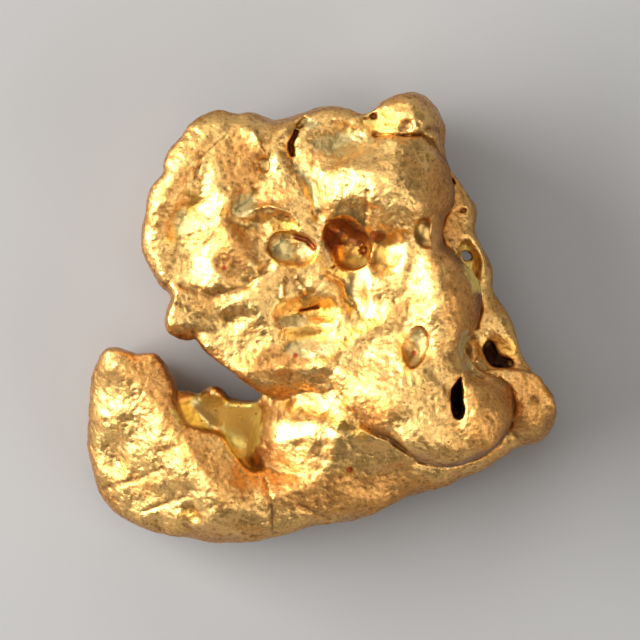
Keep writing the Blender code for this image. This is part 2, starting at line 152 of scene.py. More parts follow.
# Stains, painted reflection tints and areas of one finish, as spots with two half sizes and as streaks with a width.
# The orange, olive and green tints are painted reflections of gold in its hollows; iron, rust and red are stains.
ORANGE_REFLECTION_SPOTS = [
    ((-2.1, 5.5), (1.0, 0.5)), ((1.6, 3.1), (1.1, 0.6)), ((1.8, 4.0), (1.2, 1.2)),
    ((3.9, 3.9), (0.9, 1.1)), ((-0.6, 0.55), (2.1, 0.7)), ((-0.7, -0.8), (1.5, 0.6)),
    ((3.6, 11.5), (1.1, 0.6)), ((10.7, -1.9), (1.1, 1.0)), ((1.8, -9.0), (0.35, 0.35)),
    ((-7.8, -11.7), (0.6, 0.4)), ((-5.8, 6.4), (0.4, 0.4)),
]
ORANGE_REFLECTION_STREAKS = [
    ([(-2.7, 3.5), (-1.2, 3.1), (-0.1, 3.7)], 0.3), ([(0.3, 3.0), (1.2, 2.2), (1.7, 1.2)], 0.25),
    ([(4.9, -0.9), (4.7, -1.8), (5.1, -3.0)], 0.3), ([(-7.4, 7.1), (-8.9, 4.7)], 0.4),
    ([(4.0, 0.3), (2.0, -0.8), (0.0, -2.3)], 0.4), ([(-2.2, -5.0), (0.6, -5.6), (2.6, -6.8)], 0.4),
]
OLIVE_REFLECTION_SPOTS = [
    ((-6.9, -5.5), (1.8, 1.0)), ((-4.7, -6.4), (1.3, 1.9)), ((2.1, 3.5), (0.7, 0.4)),
    ((3.2, 11.9), (0.6, 0.4)),
]
OLIVE_REFLECTION_STREAKS = [([(8.6, 4.2), (8.8, 3.2), (9.3, 2.0)], 0.45)]
GREEN_REFLECTION_SPOTS = [
    ((-4.5, 6.8), (0.8, 0.7)), ((-8.2, 5.8), (0.5, 0.9)), ((-2.2, 4.1), (0.6, 0.6)),
    ((-1.0, 4.2), (0.4, 0.5)), ((1.9, 1.8), (0.4, 0.9)), ((-0.5, 11.7), (0.5, 0.4)),
    ((1.3, 10.4), (1.9, 0.7)), ((8.6, -1.8), (0.5, 1.2)), ((-0.5, -1.7), (1.6, 0.6)),
    ((5.7, -0.9), (0.4, 0.5)), ((-1.6, -0.1), (0.9, 0.4)),
]
GREEN_REFLECTION_STREAKS = [
    ([(-7.5, -4.9), (-6.6, -6.1)], 0.35), ([(-1.2, 9.0), (-0.5, 7.8), (0.1, 6.8)], 0.35),
]
IRON_SPOTS = [
    ((1.3, 5.5), (0.7, 0.6)), ((2.2, 5.0), (0.6, 0.7)), ((0.7, 4.7), (0.5, 0.9)),
    ((2.46, 4.14), (0.22, 0.2)), ((3.4, 4.9), (0.5, 0.4)), ((3.15, 12.1), (0.22, 0.2)),
    ((2.75, 11.95), (0.12, 0.1)), ((0.84, 3.2), (0.14, 0.12)),
]
IRON_STREAKS = [
    ([(-1.4, 5.0), (-0.7, 4.8), (-0.3, 4.3)], 0.2), ([(-1.45, 11.0), (-1.7, 10.4), (-1.6, 9.9)], 0.12),
    ([(-1.2, 0.55), (-0.6, 0.72), (-0.1, 0.82)], 0.1),
]
RUST_COVER = 0.4  # a thin stain of rust, next to a full one
RED_SPOTS = [
    ((-1.44, -2.04), (0.15, 0.16)), ((5.5, -2.0), (0.14, 0.16)), ((-11.2, -4.8), (0.1, 0.1)),
    ((-10.5, -4.7), (0.1, 0.1)), ((-5.6, 3.1), (0.12, 0.12)), ((1.8, -9.0), (0.2, 0.2)),
]
RUST_SPOTS = [
    ((3.8, 3.9), (1.1, 1.2)), ((1.8, 4.2), (1.2, 1.4)), ((-7.1, 8.7), (0.5, 0.6)),
    ((-12.0, -2.4), (0.5, 0.3)),
]
MATTE_SPOTS = [
    ((12.6, -4.8), (1.8, 2.0)), ((7.4, 6.5), (1.4, 3.4)), ((8.4, 1.2), (1.2, 3.0)),
    ((10.0, -6.0), (1.6, 2.4)), ((2.4, -10.4), (6.4, 1.4)), ((-3.0, -2.6), (2.2, 1.0)),
    ((3.2, -5.4), (1.6, 1.0)), ((-4.6, 9.0), (1.2, 2.2)), ((-5.2, 4.4), (1.2, 1.8)),
]
MATTE_STREAKS = [([(-10.2, -2.8), (-9.2, -5.2), (-7.4, -7.8), (-4.6, -10.0)], 1.3)]
SMOOTH_SPOTS = [
    ((-6.9, -5.5), (1.8, 1.0)), ((-4.7, -6.2), (1.3, 1.8)), ((1.6, 4.5), (1.5, 1.9)),
    ((3.9, 3.9), (0.9, 1.1)), ((2.4, 1.4), (0.9, 1.5)), ((-1.9, -6.2), (1.7, 1.5)),
    ((6.3, 5.1), (0.8, 0.9)),
]
SMOOTH_STREAKS = []


def smooth_closed(ring, steps=4):
    """A smooth curve through a closed ring of plan points, as a fine ring."""
    here = np.array(ring)
    before, after, later = np.roll(here, 1, 0), np.roll(here, -1, 0), np.roll(here, -2, 0)
    rows = []
    for t in np.arange(steps) / steps:
        straight = 2 * here + (after - before) * t
        curved = (2 * before - 5 * here + 4 * after - later) * t**2
        twisted = (3 * here - before - 3 * after + later) * t**3
        rows.append((straight + curved + twisted) / 2)
    return np.stack(rows, axis=1).reshape(-1, 2)


def prism(bm, outline, low, high):
    """Adds a straight-sided mass from its clockwise outline and two heights."""
    ring = smooth_closed(outline)
    floor, roof = ([bm.verts.new((x, y, z)) for x, y in ring] for z in (low, high))
    for i in range(len(ring)):
        bm.faces.new((floor[i], floor[i - 1], roof[i - 1], roof[i]))
    bm.faces.new(floor)
    bm.faces.new(roof[::-1])


def lump(bm, at, radii, turns=(0, 0, 0)):
    """Adds an ellipsoid, turned by angles in degrees."""
    turned = Euler([np.radians(turn) for turn in turns]).to_matrix().to_4x4()
    place = Matrix.Translation(at) @ turned @ Matrix.Diagonal((*radii, 1))
    bmesh.ops.create_icosphere(bm, subdivisions=4, radius=1, matrix=place)


def lay_masses(bm):
    """Each mass is worked by itself, so that one can lie over another with a sharp edge."""
    lay_mass(bm, ARM_OUTLINE, ARM_SPAN, ARM_LEAN, work_arm)
    lay_mass(bm, BOWL_OUTLINE, BOWL_SPAN, NO_LEAN, work_bowl)
    lay_mass(bm, SADDLE_OUTLINE, SADDLE_SPAN, SADDLE_LEAN, work_saddle)
    lay_mass(bm, FLANGE_OUTLINE, FLANGE_SPAN, NO_LEAN, work_flange)
    lay_mass(bm, MAIN_OUTLINE, MAIN_SPAN, MAIN_LEAN, work_main)
    lump(bm, (12.4, -5.4, 5.6), (1.7, 2.0, 3.0))
    lump(bm, (-8.0, 0.0, 8.6), (1.1, 1.1, 1.4))


def lay_mass(bm, outline, span, lean, work):
    alone = bmesh.new()
    prism(alone, outline, *span[:2])
    mass = as_object("mass", alone)
    skin(mass, FORM_VOXEL, 0)
    clay = Clay(mass.data, FORM_DRIFT, FORM_LIP)
    clay.round_edge(outline, span, lean)
    work(clay)
    clay.settle()
    bm.from_mesh(mass.data)
    bpy.data.objects.remove(mass)


def lay_feet(bm):
    """Lumps below, which the nugget rests on."""
    lump(bm, (-6.0, 5.8, 4.2), (4.0, 4.8, 4.35))
    lump(bm, (4.2, 7.0, 4.2), (4.2, 4.6, 4.35))
    lump(bm, (-10.0, -8.2, 3.0), (3.2, 4.2, 3.15))
    lump(bm, (6.2, -5.6, 3.6), (4.4, 3.2, 3.75))


def smoothstep(low, high, value):
    share = np.clip((value - low) / (high - low), 0, 1)
    return share * share * (3 - 2 * share)


class Clay:
    """The skin's corners, to be pressed and raised from above."""

    def __init__(self, mesh, drift, lip):
        self.mesh = mesh
        self.lip = lip
        self.points = np.empty(len(mesh.vertices) * 3, np.float32)
        mesh.vertices.foreach_get("co", self.points)
        self.points = self.points.reshape(-1, 3).astype(float)
        wander = [noise.noise_vector(Vector(point) / DRIFT_LENGTH)[:2] for point in self.points]
        self.plan = self.points[:, :2] + drift * np.array(wander)

    def turn_over(self):
        self.points[:, 2] = TURNING_HEIGHT - self.points[:, 2]

    def settle(self):
        self.mesh.vertices.foreach_set("co", self.points.astype(np.float32).ravel())
        self.mesh.update()

    def local(self, at, size, turn):
        """Plan places around a centre, turned, in half sizes."""
        angle = np.radians(turn)
        x, y = self.plan[:, 0] - at[0], self.plan[:, 1] - at[1]
        along = (x * np.cos(angle) + y * np.sin(angle)) / size[0]
        across = (y * np.cos(angle) - x * np.sin(angle)) / size[1]
        return along**2 + across**2

    def round_edge(self, outline, span, lean):
        """Rounds a straight-sided mass: a round edge above, and the whole wall below its middle."""
        low, high, edge = span
        ring = smooth_closed(outline, steps=12)
        along = np.roll(ring, -1, 0) - np.roll(ring, 1, 0)
        outward = np.stack([-along[:, 1], along[:, 0]], axis=1)
        outward /= np.linalg.norm(outward, axis=1)[:, None]
        widths = edge * (1 + outward @ lean)
        tree = kdtree.KDTree(len(ring))
        for index, (x, y) in enumerate(ring):
            tree.insert((x, y, 0), index)
        tree.balance()
        found = [tree.find((x, y, 0)) for x, y in self.points[:, :2]]
        inside = np.array([distance for _, _, distance in found])
        width = widths[[index for _, index, _ in found]]
        arch = np.sqrt(1 - (1 - np.clip(inside / width, 0, 1)) ** 2)
        middle, half = (low + high) / 2, (high - low) / 2
        above = 1 - EDGE_DROP * width * (1 - arch) / half
        from_middle = self.points[:, 2] - middle
        self.points[:, 2] = middle + from_middle * np.where(from_middle > 0, above, arch)

    def dent(self, at, reach, depth):
        """Presses the surface around a place towards the middle of the nugget."""
        away = np.linalg.norm(self.points - at, axis=1) / reach
        inward = -np.array((at[0], at[1], 0)) / np.hypot(at[0], at[1])
        self.points += inward * (depth * np.clip(1 - away**2, 0, 1) ** 1.5)[:, None]

    def raise_by(self, rise, low):
        """Moves what lies above a height up by a rise, or down where the rise is under zero."""
        fade = 2 * self.lip + np.abs(rise)
        self.points[:, 2] += rise * smoothstep(low - fade, low + fade, self.points[:, 2])

    def tilt(self, way, start, slope, low=5.5):
        """Lowers what lies beyond a line, more and more. The way is square to the line, in plan."""
        self.raise_by(-slope * np.maximum(self.plan @ way - start, 0), low)

    def swell(self, at, size, rise, turn=0, low=5.5):
        """A soft rise, or a dish where the rise is under zero."""
        self.raise_by(rise * np.clip(1 - self.local(at, size, turn), 0, 1) ** 1.5, low)

    def crease(self, line, width, depth, low=5.5):
        """A furrow along a line of plan points, or a ridge where the depth is under zero."""
        self.raise_by(-depth * self.along(line, width), low)

    def along(self, line, width):
        """One on a line of plan points, and less and less away from it."""
        nearest = np.full(len(self.points), np.inf)
        for start, end in zip(line[:-1], line[1:]):
            run = np.subtract(end, start)
            from_start = self.plan - start
            share = np.clip(from_start @ run / (run @ run), 0, 1)
            nearest = np.minimum(nearest, np.linalg.norm(from_start - share[:, None] * run, axis=1))
        return np.exp(-((nearest / width) ** 2))

    def covered(self, spots, streaks):
        """How much of a stain, a painted reflection tint, a finish or the painted seam shade each corner of the upper
        side has.
        """
        cover = np.zeros(len(self.points))
        for at, size in spots:
            cover = np.maximum(cover, smoothstep(1.7, 0.3, self.local(at, size, 0)))
        for line, width in streaks:
            cover = np.maximum(cover, self.along(line, width))
        facing_up = smoothstep(-0.1, 0.2, corners(self.mesh, "normal")[:, 2])
        return cover * facing_up * smoothstep(2.5, 4.0, self.points[:, 2])

    def top(self, at):
        """Height of the skin over a plan point."""
        near = np.linalg.norm(self.points[:, :2] - at, axis=1) < 2.5 * SKIN_VOXEL
        return self.points[near, 2].max()

    def pit(self, at, size, depth, turn=0, wall=0.5):
        """A hollow with a crisp rim, of two half widths in plan and a depth. A smaller wall value
        gives it a flatter bottom."""
        bottom = self.top(at) - depth
        inside = self.local(at, size, turn)
        floor = bottom + depth * (1 - np.clip(1 - inside, 0, 1) ** wall)
        floor[inside >= 1] = np.inf
        z = self.points[:, 2]
        over = np.clip(z - floor, -self.lip, None)
        pressed = np.where(over > self.lip, floor, z - (over + self.lip) ** 2 / (4 * self.lip))
        self.points[:, 2] = np.where(np.isinf(floor), z, pressed)


def work_arm(clay):
    """The arm's two planes, which meet in a long ridge, and the band that runs on to the right."""
    clay.tilt((-0.8, -0.6), 11.1, 0.55, low=3.5)
    clay.tilt((0.35, -0.94), 9.0, 0.55, low=4.5)
    clay.crease([(-12.4, -2.6), (-11.4, -3.5), (-9.5, -6.8), (-7.8, -9.3), (-6.0, -10.6)], 1.7, -0.8)
    clay.swell((-12.5, -8.1), (0.9, 1.6), -0.5, turn=12, low=4.0)
    clay.swell((-2.2, -8.4), (3.4, 2.0), -1.3, turn=20, low=4.0)
    clay.pit((-7.8, -11.7), (1.0, 0.6), 0.5, turn=-30)
    clay.pit((1.8, -9.0), (0.4, 0.5), 0.4)


def work_bowl(clay):
    """A smooth dish behind a thin lip, with two folds in the lip."""
    clay.swell((-5.4, -6.9), (3.9, 3.2), -1.7, turn=-25, low=2.4)
    clay.swell((-6.4, -4.6), (0.8, 0.6), 0.7, low=3.0)
    clay.crease([(-3.1, -4.3), (-3.8, -5.0)], 0.25, -0.7, low=3.0)
    clay.crease([(-7.9, -5.0), (-6.6, -6.3)], 0.4, 0.25, low=2.4)


def work_saddle(clay):
    """A smooth slope that falls to the left, into the bowl, and below into the band."""
    clay.tilt((-0.99, 0.1), -1.6, 0.55, low=4.6)
    clay.tilt((0.1, -0.99), 7.0, 0.6, low=4.6)
    clay.crease([(-1.0, -4.7), (0.2, -4.9), (2.5, -6.2), (4.1, -7.0)], 0.9, -0.5)


def work_flange(clay):
    clay.pit((8.9, 3.4), (0.7, 1.6), 1.1, turn=12)
    clay.swell((10.6, -2.0), (1.7, 1.3), -0.6, turn=-30, low=5.0)
    clay.tilt((0.9, 0.4), 7.6, 0.2, low=5.0)


def work_main(clay):
    """The upper side of the main body."""
    press_forms(clay)
    press_left_lobe(clay)
    press_middle(clay)
    press_top(clay)
    press_right(clay)


def press_forms(clay):
    """Broad rises and falls."""
    clay.swell((-7.8, 6.5), (4.2, 6.5), 0.5)
    clay.swell((3.9, 7.7), (4.6, 3.2), 1.8, turn=-10)
    clay.tilt((0.95, 0.3), 7.2, 0.45)
    clay.swell((5.2, -4.8), (4.8, 3.6), 1.0, turn=-20)
    clay.swell((7.4, 1.4), (2.4, 4.2), 1.0)
    clay.swell((9.8, -5.6), (1.9, 2.8), 0.7)
    clay.swell((5.6, 12.0), (2.0, 1.8), 0.8)
    clay.swell((0.2, -0.8), (5.5, 4.5), -0.9)
    clay.swell((1.5, 4.4), (3.6, 2.8), -0.6)
    clay.swell((-6.2, -1.6), (4.2, 3.2), -1.3, turn=-25)
    clay.swell((-0.4, 13.0), (9.0, 2.4), -0.9)
    clay.swell((-11.0, 3.0), (3.0, 5.0), -0.8)
    clay.swell((0.4, -6.6), (5.4, 3.6), -2.2, turn=-28)
    clay.swell((6.4, -9.8), (5.0, 2.6), -1.2, turn=-10, low=7.5)
    clay.swell((-2.6, -4.7), (2.8, 1.9), -1.5, turn=-10)


def press_left_lobe(clay):
    clay.crease([(-5.7, 11.4), (-8.0, 9.3), (-9.4, 6.2), (-9.4, 3.8)], 0.7, -0.35)
    clay.crease([(-5.4, 11.2), (-7.0, 9.7), (-7.3, 8.2)], 0.5, 0.25)
    clay.crease([(-4.0, 11.2), (-3.5, 9.7)], 0.35, -0.3)
    clay.swell((-3.3, 9.1), (1.0, 1.2), -0.45)
    clay.swell((-7.7, 4.7), (2.4, 3.4), -1.1, turn=8)
    clay.crease([(-8.9, 4.4), (-8.5, 6.1), (-7.3, 7.0)], 0.7, 0.25)
    clay.crease([(-6.9, 5.2), (-6.3, 3.0)], 0.8, -0.35)
    clay.crease([(-5.4, 7.2), (-5.1, 4.8), (-4.0, 2.6)], 0.6, -0.4)
    clay.crease([(-5.6, 3.4), (-4.4, 2.3), (-3.2, 3.2)], 0.4, 0.35)
    clay.crease([(-8.4, 2.2), (-6.3, 1.3), (-4.2, 2.0)], 0.45, 0.28)
    clay.swell((-5.1, 0.0), (1.4, 0.9), -0.4)


def press_middle(clay):
    clay.crease([(-4.0, 7.5), (-4.8, 6.7), (-5.1, 6.0), (-4.3, 5.5), (-3.4, 5.4)], 0.5, 0.45)
    clay.swell((-2.8, 6.4), (1.7, 0.9), 0.35)
    clay.swell((-2.1, 5.7), (1.1, 0.8), -0.4)
    clay.swell((2.0, 1.6), (1.2, 2.0), -0.9, turn=12)
    clay.swell((-0.6, 0.5), (2.4, 1.1), -0.9, turn=10)
    clay.swell((-1.0, -1.1), (2.0, 0.9), -0.7, turn=14)
    clay.swell((-2.2, -2.2), (1.8, 0.9), -0.4, turn=12)
    clay.crease([(4.3, 0.2), (2.2, -1.2), (0.0, -2.6)], 0.55, -0.25)


def press_top(clay):
    clay.swell((1.3, 10.6), (2.9, 1.5), -1.0, turn=4)
    clay.crease([(-1.0, 9.9), (-0.5, 9.4), (0.9, 9.2), (2.4, 9.3), (3.9, 9.8)], 0.4, 0.3)
    clay.crease([(-1.4, 11.5), (-1.7, 10.4), (-1.2, 9.0), (-0.5, 7.8), (0.0, 6.3)], 0.5, 0.5)
    clay.swell((3.5, 11.7), (1.4, 1.0), -0.7)
    clay.swell((5.0, 11.5), (0.6, 0.6), -0.3)
    clay.crease(UNDER_KNOB, 0.3, 0.45)


def press_right(clay):
    edge = [(9.2, -1.2), (8.6, -2.4), (9.1, -3.3), (10.4, -3.7), (11.3, -4.6), (11.5, -5.9)]
    clay.crease(edge, 0.35, 0.5)


def press_sides(clay):
    """Undercuts, which keep the lower half within the outline seen from above."""
    clay.dent((-11.2, 6.0, 1.8), 3.8, 1.6)
    clay.dent((-9.6, 0.8, 2.4), 3.0, 1.0)
    clay.dent((-4.6, 13.0, 2.0), 3.8, 1.4)
    clay.dent((1.2, 13.4, 2.4), 3.6, 1.6)
    clay.dent((8.6, 11.6, 2.0), 3.8, 1.2)
    clay.dent((9.8, 3.4, 1.2), 3.6, 1.4)
    clay.dent((13.4, -8.0, 1.4), 3.6, 1.2)
    clay.dent((3.8, -12.0, 1.0), 3.6, 1.2)
    clay.dent((-4.4, -14.2, 0.8), 3.4, 1.0)
    clay.dent((-15.2, -5.4, 0.6), 3.2, 0.9)


def press_underside(clay):
    """Hollows and folds between the feet, pressed with the nugget turned over."""
    clay.turn_over()
    clay.swell((-1.0, 6.5), (2.6, 2.4), -1.8, turn=20)
    clay.swell((3.0, 1.6), (2.0, 2.8), -1.6, turn=30)
    clay.swell((-5.2, 1.2), (2.0, 1.4), -1.4)
    clay.swell((0.4, -8.6), (2.6, 1.5), -1.0)
    clay.pit((0.6, 3.0), (0.9, 0.7), 0.9)
    clay.crease([(-4.0, 10.8), (-2.6, 8.4), (-2.4, 5.2), (-3.4, 2.6)], 0.4, 0.6)
    clay.turn_over()


def cut_holes(obj):
    """Openings that go right through, or deep."""
    bm = bmesh.new()
    prism(bm, SLIT_HOLE, *SLIT_SPAN)
    prism(bm, FLANGE_HOLE, *FLANGE_HOLE_SPAN)
    prism(bm, BENT_HOLE, *BENT_SPAN)
    cutter = as_object("cutter", bm)
    cut = obj.modifiers.new("Cut", "BOOLEAN")
    cut.operation = "DIFFERENCE"
    cut.solver = "MANIFOLD"
    cut.object = cutter
    bake(obj)
    bpy.data.objects.remove(cutter)


def as_object(name, bm):
    mesh = bpy.data.meshes.new(name)
    bm.to_mesh(mesh)
    bm.free()
    obj = bpy.data.objects.new(name, mesh)
    bpy.context.scene.collection.objects.link(obj)
    return obj


def bake(obj):
    """Keeps the mesh as its modifiers leave it."""
    shaped = obj.evaluated_get(bpy.context.evaluated_depsgraph_get())
    obj.data = bpy.data.meshes.new_from_object(shaped)
    obj.modifiers.clear()


def skin(obj, voxel, smoothing):
    """Joins all that overlaps into one skin of even faces, and softens it."""
    remesh = obj.modifiers.new("Skin", "REMESH")
    remesh.mode = "VOXEL"
    remesh.voxel_size = voxel
    soften = obj.modifiers.new("Soften", "SMOOTH")
    soften.factor = 0.5
    soften.iterations = smoothing
    bake(obj)


def press_details(clay):
    """Small folds, slits and holes, on the fine skin."""
    detail_left_lobe(clay)
    detail_middle(clay)
    detail_top(clay)
    detail_right(clay)
    detail_arm(clay)


def detail_left_lobe(clay):
    clay.crease([(-5.4, 11.2), (-7.0, 9.7), (-7.3, 8.5)], 0.14, 0.08)
    clay.crease([(-3.9, 11.1), (-3.4, 9.8)], 0.12, -0.18)
    clay.pit((-3.3, 9.1), (0.4, 0.5), 0.12)
    clay.crease([(-4.0, 6.5), (-3.1, 6.8), (-1.8, 6.3), (-1.3, 5.8)], 0.14, -0.18)
    clay.crease([(-8.2, 2.1), (-6.3, 1.35), (-4.2, 2.0), (-3.4, 2.9)], 0.13, 0.1)


def detail_middle(clay):
    """The round holes in a row, the slits and the thin ridges around them."""
    clay.pit((-1.6, 4.25), (1.5, 1.0), 0.8, turn=-8, wall=0.3)
    clay.crease([(-1.45, 5.05), (-0.8, 4.85), (-0.35, 4.3)], 0.18, 0.3)
    clay.pit((1.3, 5.05), (1.15, 1.15), 1.2, turn=-20, wall=0.5)
    clay.pit((1.85, 4.2), (1.2, 1.3), 1.5, wall=0.4)
    clay.swell((1.3, 5.3), (1.2, 0.9), -0.4, turn=-12)
    clay.swell((3.9, 3.9), (1.3, 1.6), -0.5)
    clay.pit((0.84, 3.2), (0.16, 0.14), 0.3)
    clay.pit((2.46, 4.14), (0.2, 0.2), 0.35)
    clay.pit((4.75, 5.4), (0.4, 0.25), 0.3, turn=30)
    clay.crease([(3.3, 5.2), (4.2, 5.0), (4.6, 5.5), (5.1, 5.4)], 0.12, -0.15)
    clay.crease([(0.4, 2.7), (1.2, 2.3), (1.5, 1.4), (1.9, 0.9)], 0.2, 0.25)
    clay.crease([(-2.2, 2.1), (-2.2, 1.2)], 0.12, -0.18)
    clay.crease([(-1.4, 2.4), (-1.0, 1.5)], 0.12, -0.18)
    clay.crease([(-1.2, 0.55), (-0.6, 0.72), (-0.1, 0.82)], 0.1, 0.6)
    clay.crease([(2.7, 7.5), (2.7, 5.9)], 0.12, 0.12)
    clay.pit((5.6, -1.6), (0.75, 1.3), 0.6, turn=-12)


def detail_top(clay):
    clay.crease([(-1.4, 11.1), (-1.7, 10.4), (-1.6, 9.8)], 0.14, 0.9)
    clay.crease([(-1.2, 11.5), (-0.9, 11.9)], 0.14, 0.5)
    clay.pit((3.15, 12.1), (0.26, 0.22), 0.6)
    clay.pit((2.75, 11.95), (0.14, 0.12), 0.3)
    clay.pit((5.0, 11.4), (0.5, 0.4), 0.25)
    clay.pit((6.3, 5.1), (0.75, 0.9), 0.55)
    clay.crease([(6.4, 11.3), (7.0, 11.2)], 0.16, 0.5)


def detail_right(clay):
    for seam in SEAMS:
        clay.crease(seam, 0.15, 0.4)
    clay.pit((8.6, 6.5), (0.2, 0.2), 0.4)
    clay.crease([(8.6, -1.2), (8.5, -2.3), (9.0, -3.1), (9.6, -3.3)], 0.2, 0.35)
    clay.crease([(9.1, -1.4), (9.2, -2.1)], 0.25, -0.3)
    clay.crease([(5.1, -6.0), (6.3, -4.8), (7.2, -3.9)], 0.6, 0.2)


def detail_arm(clay):
    clay.crease([(-3.3, -9.6), (-3.0, -10.6), (-2.9, -12.6)], 0.15, 0.2, low=3.0)
    clay.crease([(-13.1, -10.2), (-11.1, -9.6), (-9.4, -8.9)], 0.14, 0.12, low=4.0)
    clay.crease([(-10.6, -11.4), (-8.9, -10.9), (-8.1, -10.6)], 0.14, 0.12, low=4.0)
    clay.crease([(-1.2, -11.1), (0.6, -11.9)], 0.2, 0.2, low=3.0)


def neighbours_of(mesh):
    pairs = np.empty(len(mesh.edges) * 2, np.int32)
    mesh.edges.foreach_get("vertices", pairs)
    return pairs.reshape(-1, 2)


def spread(values, pairs, rounds):
    """Each corner's value, averaged over its neighbours again and again."""
    first = np.concatenate([pairs[:, 0], pairs[:, 1]])
    second = np.concatenate([pairs[:, 1], pairs[:, 0]])
    count = np.bincount(first, minlength=len(values))
    for _ in range(rounds):
        values = np.bincount(first, weights=values[second], minlength=len(values)) / count
    return values


def corners(mesh, what="co"):
    values = np.empty(len(mesh.vertices) * 3, np.float32)
    source = mesh.vertices if what == "co" else mesh.vertex_normals
    source.foreach_get("co" if what == "co" else "vector", values)
    return values.reshape(-1, 3).astype(float)


def hollowness(mesh, rounds):
    """How far each corner lies under the mean of the skin around it, in millimetres."""
    pairs = neighbours_of(mesh)
    points = corners(mesh)
    mean = np.stack([spread(points[:, axis], pairs, rounds) for axis in range(3)], axis=1)
    return np.einsum("ij,ij->i", mean - points, corners(mesh, "normal"))


def roughen(mesh, smooth, matte):
    """Uneven natural relief, square to the surface. Smooth areas have less of it, and matte ones
    more of the grain."""
    points, outward = corners(mesh), corners(mesh, "normal")
    places = [Vector(point) for point in points]
    broad = np.array([noise.fractal(p / BROAD_LENGTH, 1.0, 2.0, 2) for p in places])
    hammered = np.array([noise.fractal(p / HAMMERED_LENGTH, 0.8, 2.0, 2) for p in places])
    crinkle = np.array([1 - 2 * abs(noise.noise(p / CRINKLE_LENGTH)) for p in places])
    grain = np.array([noise.noise(p / GRAIN_LENGTH) for p in places])
    pocks = np.array([noise.voronoi(p / POCK_LENGTH)[0][0] for p in places])
    beaten = (HAMMERED_RELIEF * hammered + CRINKLE_RELIEF * crinkle) * (1 - 0.2 * matte)
    fine = GRAIN_RELIEF * grain * (1 + 0.5 * matte) - POCK_RELIEF * np.clip(1 - 4 * pocks, 0, 1)
    points += outward * (BROAD_RELIEF * broad + (beaten + fine) * (1 - 0.75 * smooth))[:, None]
    mesh.vertices.foreach_set("co", points.astype(np.float32).ravel())
    mesh.update()


def flatten_feet(mesh, reach=0.0):
    """Worn flats where the lowest lumps meet the floor. What lies under the reach comes to Z = 0."""
    for vertex in mesh.vertices:
        if vertex.co.z < reach:
            vertex.co.z = 0


def store(mesh, name, values):
    attribute = mesh.attributes.new(name, "FLOAT", "POINT")
    attribute.data.foreach_set("value", values.astype(np.float32))


def thin(obj):
    """Leaves as many triangles as a piece may have, fewer of them on the unseen side."""
    levels = np.round(1 + 8 * smoothstep(-0.4, 0.3, corners(obj.data, "normal")[:, 2]))
    group = obj.vertex_groups.new(name="upper")
    for level in range(1, 10):
        group.add(np.nonzero(levels == level)[0].tolist(), level / 10, "REPLACE")
    faces = sum(len(face.vertices) - 2 for face in obj.data.polygons)
    fewer = obj.modifiers.new("Thin", "DECIMATE")
    fewer.ratio = TRIANGLES / faces
    fewer.vertex_group = group.name
    fewer.invert_vertex_group = True
    fewer.vertex_group_factor = UPPER_HOLD
    fewer.use_collapse_triangulate = True
    bake(obj)


def hole_shade_cover(clay):
    """Painted shade: how far the dark brown that stands for the shade inside the blind holes reaches."""
    inside = np.zeros(len(clay.points))
    for outline in (SLIT_HOLE, BENT_HOLE):
        middle = np.mean(outline, axis=0)
        for corner in outline:
            inside = np.maximum(inside, smoothstep(0.45, 0.25, np.linalg.norm(clay.plan - (corner + middle) / 2, axis=1)))
    return inside * smoothstep(HOLE_SHADE_HEIGHTS[1], HOLE_SHADE_HEIGHTS[0], clay.points[:, 2])


